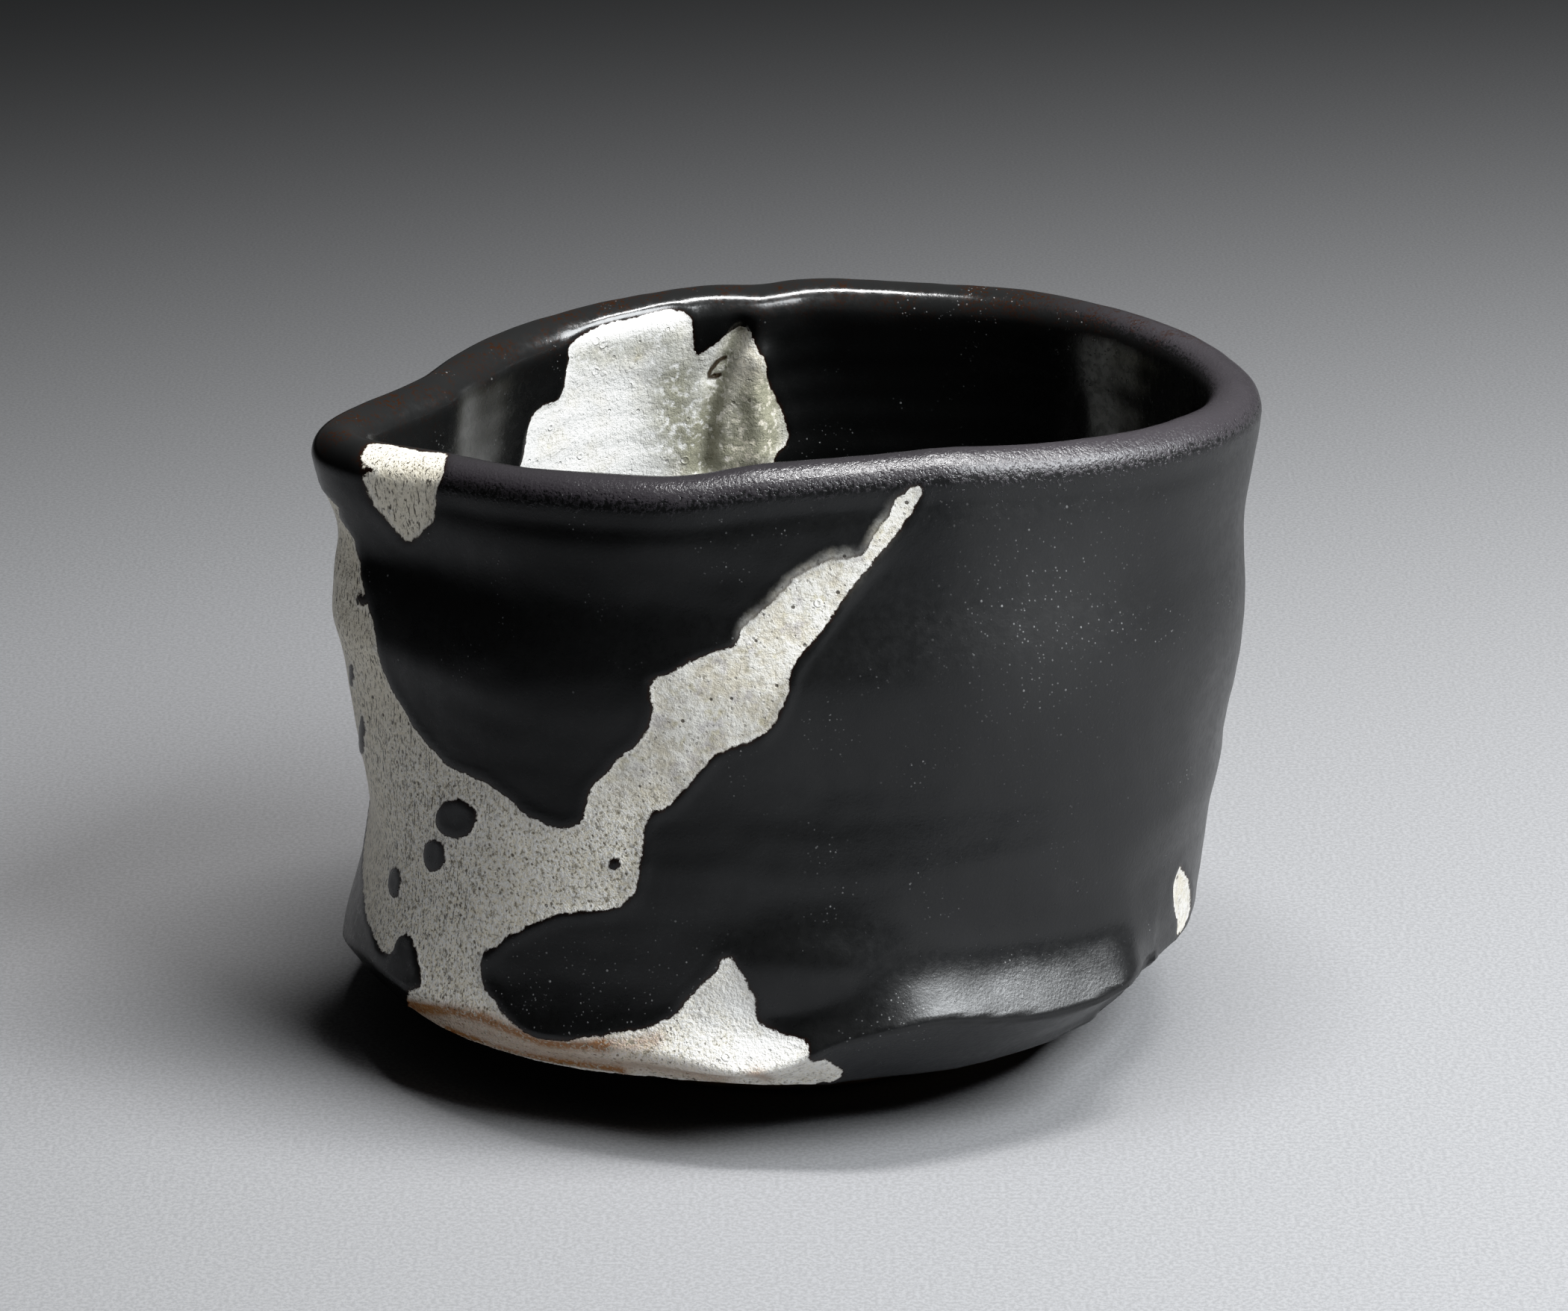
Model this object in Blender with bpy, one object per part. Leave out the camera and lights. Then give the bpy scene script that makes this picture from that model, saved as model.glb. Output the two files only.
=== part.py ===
"""A hand-thrown sake cup: one fired piece of glazed stoneware, standing on a low trimmed foot ring.

It is made as a potter makes it. A profile is turned round the Z axis, and the soft pot is then
pushed out of round: oval at the lip, pinched to a prow at its left end, pressed flatter in front,
and knife-trimmed in flat facets along its lower edge.

Metres, Z up. The cup stands on Z = 0 and its box is centred on the Z axis. Seen from the front,
which is along +Y, the pinched prow is on the left. Angles run from +X towards +Y, so the front is
at 270 degrees. A rise is a share of the wall's height: 0 at its lower edge and 1 at the lip.
"""

import math

import bmesh
import bpy
from mathutils import Matrix, Vector

MM = 0.001

# Heights over the table
LIP_HEIGHT = 53.9 * MM
EDGE_HEIGHT = 6.2 * MM
FOOT_HEIGHT = 3.6 * MM
FLOOR_HEIGHT = 9.6 * MM

# The oval of the wall's middle, seen from above, at the lip and at the lower edge
LIP_LENGTH = 64.6 * MM
LIP_DEPTH = 56.6 * MM
LIP_SHIFT = 3.7 * MM
LIP_TURN = math.radians(9)
EDGE_LENGTH = 64.9 * MM
EDGE_DEPTH = 60.4 * MM
EDGE_SHIFT = -0.5 * MM
SQUARENESS = 2.2

# Wall, lip and floor
LIP_THICKNESS = 4.6 * MM
WALL_THICKNESS = 4.1 * MM
BASE_THICKNESS = 5.2 * MM
LIP_DROP = 6.5 * MM
FLOOR_CORNER = 9.0 * MM
FLOOR_DISH = 0.8 * MM

# The foot ring, and the shallow recess inside it
FOOT_DIAMETER = 41.0 * MM
FOOT_RING_WIDTH = 5.0 * MM
FOOT_DRAFT = 1.0 * MM
FOOT_CHAMFER = 0.5 * MM
RECESS_DEPTH = 2.4 * MM
EDGE_ROUNDING = 1.2 * MM

# The prow, pinched out at the left end of the lip and fading down the wall
PROW_REACH = 7.2 * MM
PROW_ANGLE = math.radians(190)
PROW_SPREAD = math.radians(13.6)
PROW_START = 0.26

# The front wall, pressed in towards the lip
PRESS_DEPTH = 2.3 * MM
PRESS_ANGLE = math.radians(275)
PRESS_SPREAD = math.radians(40)

# The lip's height: tilted up to the right, and dipping at both ends of its oval
LIP_TILT = 1.25 * MM
LIP_TILT_ANGLE = math.radians(-20)
LIP_SADDLE = 0.9 * MM
LIP_SADDLE_ANGLE = math.radians(17)
LIP_MOVES_ABOVE = 0.45

# The potter's touches, each a soft push on the wall: middle angle, spread, middle rise,
# spread of the rise and how far outwards
TOUCHES = (
    (math.radians(192), math.radians(38), 0.86, 0.08, -1.1 * MM),
    (math.radians(192), math.radians(30), 0.67, 0.05, 0.4 * MM),
    (math.radians(192), math.radians(40), 0.27, 0.13, -0.25 * MM),
    (math.radians(300), math.radians(70), 0.72, 0.13, 0.5 * MM),
    (math.radians(2), math.radians(40), 0.57, 0.13, 0.9 * MM),
    (math.radians(312), math.radians(62), 0.42, 0.08, 0.45 * MM),
    (math.radians(2), math.radians(40), 0.37, 0.05, 0.2 * MM),
    (math.radians(279), math.radians(16), 0.205, 0.05, 0.7 * MM),
    (math.radians(302), math.radians(30), 0.105, 0.05, 1.0 * MM),
    (math.radians(330), math.radians(18), 0.13, 0.06, 0.6 * MM),
    (math.radians(95), math.radians(75), 0.50, 0.12, 0.6 * MM),
    (math.radians(100), math.radians(80), 0.22, 0.07, 0.35 * MM),
)

# The wall flares out to its lower edge on the left half
FLARE = 1.3 * MM
FLARE_SHARE = 0.12
FLARE_ANGLE = math.radians(192)
FLARE_SPREAD = math.radians(62)

# Knife-trimmed facets under the lower edge: first angle, last angle, angles over which each end
# runs out, top over the lower edge, and how deep the cut is at the edge
FACETS = (
    (math.radians(266), math.radians(335), math.radians(22), math.radians(5), 4.7 * MM, 2.0 * MM),
    (math.radians(328), math.radians(394), math.radians(6), math.radians(16), 3.6 * MM, 3.6 * MM),
    (math.radians(180), math.radians(282), math.radians(24), math.radians(30), 2.6 * MM, 2.2 * MM),
    (math.radians(40), math.radians(112), math.radians(16), math.radians(12), 3.6 * MM, 2.0 * MM),
    (math.radians(102), math.radians(188), math.radians(10), math.radians(20), 3.0 * MM, 1.8 * MM),
)

# A fold pressed into the back of the wall: a groove outside and a ridge inside
FOLD_DEPTH = 1.7 * MM
FOLD_ANGLE = math.radians(103)
FOLD_SPREAD = math.radians(8)
FOLD_RISE = 0.70
FOLD_SHARE = 0.30
FOLD_OUTSIDE_SHARE = 0.3

# Knuckles of the lip: angle, spread, outwards and upwards
KNUCKLES = (
    (math.radians(-6), math.radians(20), 0.6 * MM, 0.0 * MM),
    (math.radians(170), math.radians(5), -0.3 * MM, 0.1 * MM),
    (math.radians(246), math.radians(9), 0.3 * MM, -0.4 * MM),
    (math.radians(291), math.radians(7), 0.3 * MM, 0.3 * MM),
    (math.radians(101), math.radians(5), -0.1 * MM, -0.2 * MM),
    (math.radians(72), math.radians(20), -0.3 * MM, -0.3 * MM),
    (math.radians(34), math.radians(14), -0.4 * MM, 0.0 * MM),
)
KNUCKLES_ABOVE = 0.8

# How finely the pot is turned
COLUMNS = 88
LIP_STEPS = 6
EDGE_ROWS = 7
EDGE_BAND = 7.0 * MM
WALL_ROWS = 13
INNER_ROWS = 9
CORNER_STEPS = 4
FLOOR_ROWS = 3
RECESS_ROWS = 2
UNDERSIDE_ROWS = 2

# The pot is round over its foot, and takes the wall's shape this far in from the wall's middle
WALL_MARGIN = 3.5 * MM

GLAZE_COLOUR = (0.012, 0.011, 0.011, 1.0)
GLAZE_ROUGHNESS = 0.32


def mix(low, high, share):
    return low + (high - low) * share


def smooth(share):
    """An even S from 0 to 1."""
    share = min(max(share, 0.0), 1.0)
    return share * share * (3 - 2 * share)


def swell(apart, spread):
    """1 in the middle, fading to nothing about two spreads away."""
    return math.exp(-((apart / spread) ** 2))


def turned_from(angle, middle):
    """The angle from the middle one, between minus and plus half a turn."""
    return math.remainder(angle - middle, math.tau)


def evenly(low, high, steps):
    """The values after low, up to and with high."""
    return [mix(low, high, (step + 1) / steps) for step in range(steps)]


# The profile, as (radius, height) pairs round the wall's middle

MIDDLE = EDGE_LENGTH / 2
LIP_CENTRE = LIP_HEIGHT - LIP_THICKNESS / 2
OUTER_OFFSET = LIP_THICKNESS / 2


def inner_offset(height):
    """How far the inside is from the wall's middle: thinnest just under the lip."""
    waist = LIP_CENTRE - LIP_DROP
    if height > waist:
        thickness = mix(WALL_THICKNESS, LIP_THICKNESS, smooth((height - waist) / LIP_DROP))
    else:
        share = smooth((height - EDGE_HEIGHT) / (waist - EDGE_HEIGHT))
        thickness = mix(BASE_THICKNESS, WALL_THICKNESS, share)
    return thickness - OUTER_OFFSET


def underside():
    """From the middle of the recess, over the foot ring, out to the body's lower edge."""
    outer = FOOT_DIAMETER / 2
    inner = outer - FOOT_RING_WIDTH
    flat = inner - RECESS_DEPTH / 2
    points = [(0.0, RECESS_DEPTH)]
    points += [(radius, RECESS_DEPTH) for radius in evenly(0.0, flat, RECESS_ROWS)]
    points += [
        (inner - FOOT_CHAMFER / 2, RECESS_DEPTH - RECESS_DEPTH / 3),
        (inner, FOOT_CHAMFER),
        (inner + FOOT_CHAMFER, 0.0),
        (outer - FOOT_CHAMFER, 0.0),
        (outer, FOOT_CHAMFER),
        (outer + FOOT_DRAFT, FOOT_HEIGHT),
    ]
    start = outer + FOOT_DRAFT
    end = MIDDLE + OUTER_OFFSET - 2 * EDGE_ROUNDING
    for share in evenly(0.0, 1.0, UNDERSIDE_ROWS):
        points.append((mix(start, end, share), mix(FOOT_HEIGHT, EDGE_HEIGHT - EDGE_ROUNDING, share)))
    return points


def outer_wall():
    """From the rounded lower edge up to the lip's outer side."""
    outside = MIDDLE + OUTER_OFFSET
    points = [(outside - EDGE_ROUNDING / 2, EDGE_HEIGHT - EDGE_ROUNDING * 2 / 3)]
    heights = [EDGE_HEIGHT] + evenly(EDGE_HEIGHT, EDGE_HEIGHT + EDGE_BAND, EDGE_ROWS)
    heights += evenly(heights[-1], LIP_CENTRE, WALL_ROWS)
    return points + [(outside, height) for height in heights]


def lip():
    """Over the round lip, from its outer side to its inner side, without those two."""
    radius = LIP_THICKNESS / 2
    angles = [math.pi * step / LIP_STEPS for step in range(1, LIP_STEPS)]
    return [(MIDDLE + radius * math.cos(a), LIP_CENTRE + radius * math.sin(a)) for a in angles]


def inside():
    """From the lip's inner side, down the wall and round the corner to the middle of the floor."""
    corner_top = FLOOR_HEIGHT + FLOOR_CORNER
    heights = [LIP_CENTRE] + evenly(LIP_CENTRE, corner_top, INNER_ROWS)
    points = [(MIDDLE - inner_offset(height), height) for height in heights]
    flat = points[-1][0] - FLOOR_CORNER
    for angle in evenly(0.0, math.pi / 2, CORNER_STEPS):
        across = flat + FLOOR_CORNER * math.cos(angle)
        points.append((across, corner_top - FLOOR_CORNER * math.sin(angle)))
    for share in evenly(0.0, 1.0, FLOOR_ROWS):
        points.append((flat * (1 - share), FLOOR_HEIGHT - FLOOR_DISH * smooth(share)))
    return points


# The warp, which pushes the turned pot out of round


def rise_of(height):
    return min(max((height - EDGE_HEIGHT) / (LIP_CENTRE - EDGE_HEIGHT), 0.0), 1.0)


def wall_middle(angle, rise):
    """The middle of the wall seen from above."""
    half_length = mix(EDGE_LENGTH, LIP_LENGTH, rise) / 2
    half_depth = mix(EDGE_DEPTH, LIP_DEPTH, rise) / 2
    turned = angle - LIP_TURN * rise
    along = abs(math.cos(turned) / half_length) ** SQUARENESS
    across = abs(math.sin(turned) / half_depth) ** SQUARENESS
    radius = (along + across) ** (-1 / SQUARENESS)
    prow = max(0.0, (rise - PROW_START) / (1 - PROW_START))
    radius += PROW_REACH * prow * swell(turned_from(angle, PROW_ANGLE), PROW_SPREAD)
    radius -= PRESS_DEPTH * rise * swell(turned_from(angle, PRESS_ANGLE), PRESS_SPREAD)
    shift = mix(EDGE_SHIFT, LIP_SHIFT, rise)
    return Vector((shift + radius * math.cos(angle), radius * math.sin(angle)))


def wall_outward(angle, rise):
    """The direction straight out of the wall, seen from above."""
    step = math.radians(1)
    along = wall_middle(angle + step, rise) - wall_middle(angle - step, rise)
    return Vector((along.y, -along.x)).normalized()


def push(angle, rise):
    """How far the potter's touches and the flare carry the wall out."""
    out = FLARE * swell(turned_from(angle, FLARE_ANGLE), FLARE_SPREAD) * swell(rise, FLARE_SHARE)
    for middle, spread, middle_rise, share, distance in TOUCHES:
        out += distance * swell(turned_from(angle, middle), spread) * swell(rise - middle_rise, share)
    return out


def facet_cut(angle, height):
    """How far the knife has taken the outside in, under the top line of each facet."""
    cut = 0.0
    for first, last, run_in, run_out, top, depth in FACETS:
        middle, half = (first + last) / 2, (last - first) / 2
        along = turned_from(angle, middle)
        share = smooth((along + half) / run_in) * smooth((half - along) / run_out)
        line = EDGE_HEIGHT + top * share
        cut = max(cut, depth / top * (line - max(height, EDGE_HEIGHT)))
    return cut


def knuckle_shift(angle, rise):
    """The lip's small swellings: how far out and how far up."""
    share = smooth((rise - KNUCKLES_ABOVE) / (1 - KNUCKLES_ABOVE))
    out = sum(o * swell(turned_from(angle, at), wide) for at, wide, o, _ in KNUCKLES)
    lift = sum(u * swell(turned_from(angle, at), wide) for at, wide, _, u in KNUCKLES)
    return out * share, lift * share


def lip_lift(angle, rise):
    """The lip's tilt and its saddle, which fade out down the wall."""
    tilt = LIP_TILT * math.cos(angle - LIP_TILT_ANGLE)
    saddle = -LIP_SADDLE * math.cos(2 * (angle - LIP_SADDLE_ANGLE))
    return (tilt + saddle) * smooth((rise - LIP_MOVES_ABOVE) / (1 - LIP_MOVES_ABOVE))


def fold(angle, rise):
    at_angle = swell(turned_from(angle, FOLD_ANGLE), FOLD_SPREAD)
    return FOLD_DEPTH * at_angle * swell(rise - FOLD_RISE, FOLD_SHARE)


def warped(point):
    """Where a point of the turned pot goes."""
    radius = math.hypot(point.x, point.y)
    angle = math.atan2(point.y, point.x)
    rise = rise_of(point.z)
    offset = radius - MIDDLE
    outside = smooth(0.5 + offset / LIP_THICKNESS)
    out, lift = knuckle_shift(angle, rise)
    offset += push(angle, rise) + out
    offset -= facet_cut(angle, point.z) * outside
    offset -= fold(angle, rise) * mix(1.0, FOLD_OUTSIDE_SHARE, outside)
    at_wall = wall_middle(angle, rise) + wall_outward(angle, rise) * offset
    at_core = Vector((EDGE_SHIFT + point.x, point.y))
    core = FOOT_DIAMETER / 2 + FOOT_DRAFT
    follows = smooth((radius - core) / (MIDDLE - WALL_MARGIN - core))
    place = at_core.lerp(at_wall, follows)
    return Vector((place.x, place.y, point.z + (lip_lift(angle, rise) + lift) * follows))


def turned_pot(profile):
    """The profile spun round the Z axis into a closed surface."""
    pot = bmesh.new()
    points = [pot.verts.new((radius, 0.0, height)) for radius, height in profile]
    lines = [pot.edges.new(pair) for pair in zip(points, points[1:])]
    bmesh.ops.spin(
        pot,
        geom=points + lines,
        cent=(0, 0, 0),
        axis=(0, 0, 1),
        angle=math.tau,
        steps=COLUMNS,
        use_merge=True,
    )
    bmesh.ops.remove_doubles(pot, verts=pot.verts, dist=0.001 * MM)
    bmesh.ops.recalc_face_normals(pot, faces=pot.faces)
    return pot


def glaze():
    material = bpy.data.materials.new("black_glaze")
    material.use_nodes = True
    shader = material.node_tree.nodes["Principled BSDF"]
    shader.inputs["Base Color"].default_value = GLAZE_COLOUR
    shader.inputs["Roughness"].default_value = GLAZE_ROUGHNESS
    shader.inputs["Metallic"].default_value = 0.0
    return material


def centre_on_axis(mesh):
    """Moves the mesh so that its box is centred on the Z axis."""
    xs = [vertex.co.x for vertex in mesh.vertices]
    ys = [vertex.co.y for vertex in mesh.vertices]
    middle = Vector(((min(xs) + max(xs)) / 2, (min(ys) + max(ys)) / 2, 0.0))
    mesh.transform(Matrix.Translation(-middle))


def sake_cup():
    pot = turned_pot(underside() + outer_wall() + lip() + inside())
    for vertex in pot.verts:
        vertex.co = warped(vertex.co)
    mesh = bpy.data.meshes.new("sake_cup")
    pot.to_mesh(mesh)
    pot.free()
    centre_on_axis(mesh)
    mesh.shade_smooth()
    mesh.set_sharp_from_angle(angle=math.radians(50))
    mesh.materials.append(glaze())
    cup = bpy.data.objects.new("sake_cup", mesh)
    bpy.context.scene.collection.objects.link(cup)


def main():
    for old in list(bpy.data.objects):
        bpy.data.objects.remove(old)
    sake_cup()


main()
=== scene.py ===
"""A hand-thrown sake cup in black and white glaze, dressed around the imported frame.

The cup is turned again from the solid's profile, on a much finer mesh, pushed out of round as the
solid is but a little more closely, and then glazed. The glaze areas are drawn as outlines on the
photograph's view of the cup and projected on to it; from them every point of the mesh learns how
deep it lies in the white glaze. That distance shapes the glaze's low relief and steers the material.

Metres, Z up. Seen from the front, along +Y, the pinched prow is on the left. Angles run from +X
towards +Y, so the front is at 270 degrees. A place on the cup is given by its angle and by how far
up the profile it lies, in millimetres from the wall's lower edge: up the outside, over the lip and
down the inside.
"""

import math

import bmesh
import bpy
import numpy as np
from mathutils import Matrix, Vector
from mathutils.bvhtree import BVHTree
from mathutils.interpolate import poly_3d_calc


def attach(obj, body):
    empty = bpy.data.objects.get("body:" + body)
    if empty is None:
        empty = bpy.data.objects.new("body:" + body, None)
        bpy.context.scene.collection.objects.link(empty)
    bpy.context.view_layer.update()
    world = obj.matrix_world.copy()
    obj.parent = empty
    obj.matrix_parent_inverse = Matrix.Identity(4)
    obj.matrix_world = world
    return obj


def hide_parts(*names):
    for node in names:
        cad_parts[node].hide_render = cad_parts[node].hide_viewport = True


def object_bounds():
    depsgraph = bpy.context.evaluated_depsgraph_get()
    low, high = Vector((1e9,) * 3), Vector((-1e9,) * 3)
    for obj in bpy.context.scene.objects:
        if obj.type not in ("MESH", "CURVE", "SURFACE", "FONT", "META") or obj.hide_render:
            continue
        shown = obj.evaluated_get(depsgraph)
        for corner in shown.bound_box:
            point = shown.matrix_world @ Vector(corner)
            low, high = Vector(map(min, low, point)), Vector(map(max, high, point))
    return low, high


bl_info = {
    "name": "Sake cup",
    "version": (1, 0, 0),
    "blender": (4, 5, 0),
    "location": "3D View > Sidebar > Sake cup",
    "description": "Makes a hand-thrown sake cup in black and white glaze, and its stage",
    "category": "Object",
}

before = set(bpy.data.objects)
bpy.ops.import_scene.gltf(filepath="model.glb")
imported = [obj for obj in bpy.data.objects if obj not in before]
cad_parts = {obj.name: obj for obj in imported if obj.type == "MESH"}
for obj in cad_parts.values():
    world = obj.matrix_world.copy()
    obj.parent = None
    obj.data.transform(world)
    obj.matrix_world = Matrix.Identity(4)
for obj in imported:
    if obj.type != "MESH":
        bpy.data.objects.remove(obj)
CAD_BOX = [list(corner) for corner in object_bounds()]
CAD_MIDDLE = [(low + high) / 2 for low, high in zip(*CAD_BOX)]

MM = 0.001

# The form. Its main sizes are the solid's; its touches, facets, ledge and knuckles are finer

LIP_HEIGHT = 53.9
EDGE_HEIGHT = 6.2
FOOT_HEIGHT = 3.6
FLOOR_HEIGHT = 9.6

LIP_LENGTH = 64.6
LIP_DEPTH = 56.6
LIP_SHIFT = 3.7
LIP_TURN = math.radians(9)
EDGE_LENGTH = 64.9
EDGE_DEPTH = 60.4
EDGE_SHIFT = -0.5
SQUARENESS = 2.2

LIP_THICKNESS = 4.6
WALL_THICKNESS = 4.1
BASE_THICKNESS = 5.2
LIP_DROP = 6.5
FLOOR_CORNER = 9.0
FLOOR_DISH = 0.8

FOOT_DIAMETER = 41.0
FOOT_RING_WIDTH = 5.0
FOOT_DRAFT = 1.0
FOOT_CHAMFER = 0.5
RECESS_DEPTH = 2.4
EDGE_ROUNDING = 1.2

PROW_REACH = 7.2
PROW_ANGLE = math.radians(190)
PROW_SPREAD = math.radians(13.6)
PROW_START = 0.26

PRESS_DEPTH = 2.3
PRESS_ANGLE = math.radians(275)
PRESS_SPREAD = math.radians(40)

LIP_TILT = 1.25
LIP_TILT_ANGLE = math.radians(-20)
LIP_SADDLE = 0.9
LIP_SADDLE_ANGLE = math.radians(17)
LIP_MOVES_ABOVE = 0.45

# The potter's touches: middle angle and spread in degrees, middle rise and spread, how far out
TOUCHES = (
    (192, 38, 0.86, 0.08, -1.1),
    (192, 30, 0.67, 0.05, 0.4),
    (192, 40, 0.27, 0.13, -0.25),
    (300, 66, 0.69, 0.11, 1.0),
    (2, 40, 0.57, 0.13, 0.9),
    (312, 62, 0.37, 0.09, 0.45),
    (2, 40, 0.37, 0.05, 0.2),
    (277, 16, 0.215, 0.075, 1.4),
    (304, 19, 0.22, 0.075, -0.9),
    (322, 13, 0.09, 0.07, -0.6),
    (95, 75, 0.50, 0.12, 0.6),
    (100, 80, 0.22, 0.07, 0.35),
)

FLARE = 1.3
FLARE_SHARE = 0.12
FLARE_ANGLE = math.radians(192)
FLARE_SPREAD = math.radians(62)

# Knife-trimmed facets: first and last angle and the run of each end in degrees, top, depth
FACETS = (
    (325, 394, 7, 16, 4.0, 5.0),
    (180, 282, 24, 30, 2.6, 2.2),
    (40, 112, 16, 12, 3.6, 2.0),
    (102, 188, 10, 20, 3.0, 1.8),
)

# The ledge along the front's lower edge: angle, height of its crease above the edge, how far the
# crease stands out, and how far in the edge lies under it
LEDGE = (
    (226, 1.2, 0.0, 0.0),
    (240, 1.6, 0.5, 0.0),
    (252, 1.5, 1.1, 0.1),
    (262, 1.3, 1.8, 0.1),
    (270, 1.9, 1.9, 0.4),
    (278, 4.2, 2.2, 1.5),
    (286, 5.4, 2.75, 2.3),
    (293, 5.7, 2.65, 2.2),
    (298, 5.0, 2.45, 2.2),
    (304, 4.5, 2.4, 2.4),
    (311, 4.2, 2.6, 2.7),
    (316, 4.5, 2.9, 3.0),
    (321, 5.1, 3.0, 3.2),
    (326, 5.2, 1.0, 3.0),
    (333, 5.2, 0.0, 0.4),
)
LEDGE_FLARE = 3.6
LEDGE_FILLET = 1.8
LEDGE_SOFTNESS = 1.6

FOLD_DEPTH = 1.7
FOLD_ANGLE = math.radians(103)
FOLD_SPREAD = math.radians(8)
FOLD_RISE = 0.70
FOLD_SHARE = 0.30
FOLD_OUTSIDE_SHARE = 0.3

# Knuckles of the lip: angle and spread in degrees, outwards, upwards
KNUCKLES = (
    (-6, 20, 0.6, 0.0),
    (170, 5, -0.3, 0.1),
    (246, 9, 0.3, -0.4),
    (291, 7, 0.3, 0.3),
    (101, 5, -0.1, -0.2),
    (72, 20, -0.3, -0.3),
    (34, 14, -0.4, 0.0),
    (248, 40, 0.0, 0.7),
)
KNUCKLES_ABOVE = 0.8
WALL_MARGIN = 3.5

MIDDLE = EDGE_LENGTH / 2
LIP_CENTRE = LIP_HEIGHT - LIP_THICKNESS / 2
OUTER_OFFSET = LIP_THICKNESS / 2
OUTSIDE = MIDDLE + OUTER_OFFSET

# How finely the pot is turned here; a sector is turned, and doubled until the round is full
COLUMNS = 432
DOUBLINGS = 4
LIP_STEPS = 18
WALL_STEP = 0.44
INNER_STEP = 0.5
INNER_FINE_DEPTH = 20.0
DEEPER_STEP = 1.0
CORNER_STEPS = 12
FLOOR_ROWS = 7
UNDER_STEP = 2.0
EDGE_STEP = 0.6

# The photograph's view of the cup, for its whole frame of 2100 by 1756 pixels
PHOTO_WIDTH = 2100
PHOTO_HEIGHT = 1756
VIEW_ELEVATION = math.radians(20)
VIEW_DISTANCE = 450.0
VIEW_AIM = (-0.35, 0.0, 30.5)
BACK = Vector((0.0, -math.cos(VIEW_ELEVATION), math.sin(VIEW_ELEVATION)))
EYE = Vector(VIEW_AIM) + BACK * VIEW_DISTANCE
PIXELS_PER_MM = 16.3
# A pixel that just misses the cup is moved towards the middle by these shares, so many times
MOVE_ACROSS = 0.004
MOVE_UP = 0.002
MOST_MOVES = 60

# Outlines of the white glaze, in pixels of the photograph

LIP_PATCH = (
    (596, 626), (590, 642), (583, 662), (581, 690), (577, 701), (560, 718), (550, 726), (540, 722),
    (525, 705), (505, 682), (495, 668), (489, 652), (485, 636), (483, 622),
)
# Its upper edge on the lip's crest, as angle and place
LIP_PATCH_CREST = (
    (197.4, 48.6), (199.0, 49.3), (202.0, 49.2), (204.0, 48.8), (205.6, 49.4), (207.2, 49.2),
)

# The big field, from the left limb down its upper edge and up the streak to its tip
FIELD_UPPER_EDGE = (
    (443, 670), (455, 695), (472, 720), (482, 760), (486, 780), (490, 800), (497, 825), (502, 850),
    (506, 875), (513, 900), (525, 925), (540, 950), (555, 975), (575, 1000), (590, 1017),
    (605, 1030), (625, 1038), (650, 1048), (665, 1060), (685, 1072), (695, 1085), (720, 1099),
    (735, 1105), (750, 1110), (765, 1108), (780, 1100), (782, 1085), (788, 1065), (795, 1050),
    (808, 1040), (825, 1018), (850, 1000), (862, 985), (868, 970), (874, 950), (870, 930),
    (868, 915), (875, 910), (900, 902), (925, 885), (945, 878), (985, 865), (990, 850),
    (1000, 835), (1025, 815), (1050, 790), (1065, 775), (1110, 750), (1150, 745), (1165, 725),
    (1190, 690), (1195, 675), (1210, 660), (1220, 652), (1232, 653), (1236, 660),
)
# Down the streak's right side to the lower black patch
STREAK_RIGHT_EDGE = (
    (1230, 672), (1220, 690), (1205, 708), (1175, 745), (1145, 780), (1130, 800), (1100, 845),
    (1085, 865), (1072, 880), (1060, 900), (1055, 925), (1045, 950), (1035, 970), (1020, 985),
    (1000, 995), (975, 1002), (955, 1012), (940, 1030), (910, 1065), (895, 1080), (875, 1088),
    (865, 1100), (861, 1115), (862, 1135), (857, 1165), (848, 1195), (835, 1210), (820, 1216),
    (775, 1222), (750, 1223), (715, 1238), (680, 1255), (665, 1268), (647, 1278), (643, 1292),
)
# Round the lower black patch, over the white triangle and down to the lower edge
LOWER_EDGE = (
    (643, 1310), (648, 1325), (660, 1340), (670, 1355), (685, 1370), (705, 1383), (725, 1392),
    (750, 1393), (775, 1391), (825, 1383), (850, 1380), (875, 1373), (905, 1360), (915, 1345),
    (930, 1330), (945, 1315), (960, 1300), (965, 1288), (978, 1282), (988, 1298), (1000, 1315),
    (1010, 1335), (1012, 1355), (1022, 1375), (1050, 1385), (1080, 1397), (1082, 1420),
    (1100, 1417), (1115, 1425), (1130, 1440),
)
# Under the wall's lower edge, as angle and place, back to the left
FIELD_UNDER_EDGE = (
    (275, -1.2), (272, -2.6), (262, -3.0), (250, -2.4), (238, -2.9), (226, -2.2), (216, -2.8),
    (209, -1.6),
)
# Up the right side of the black patch at the lower left, to the left limb
LEFT_PATCH_EDGE = (
    (545, 1345), (555, 1325), (563, 1310), (560, 1290), (555, 1265), (548, 1250), (540, 1252),
    (530, 1262), (525, 1275), (515, 1277), (507, 1270), (500, 1250), (490, 1225), (487, 1190),
    (485, 1165), (478, 1140),
)
# Behind the left limb, where the photograph doesn't show it
FIELD_BEHIND = (
    (178, 12.5), (172, 10.0), (163, 9.5), (156, 13.0), (153, 18.0), (157, 24.0), (160, 30.0),
    (167, 35.0), (172, 40.0), (178, 43.0),
)

RIGHT_LEAF = (
    (1580, 1160), (1572, 1185), (1572, 1215), (1578, 1235), (1588, 1257), (1600, 1235),
    (1602, 1222), (1595, 1195), (1583, 1162),
)

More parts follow.
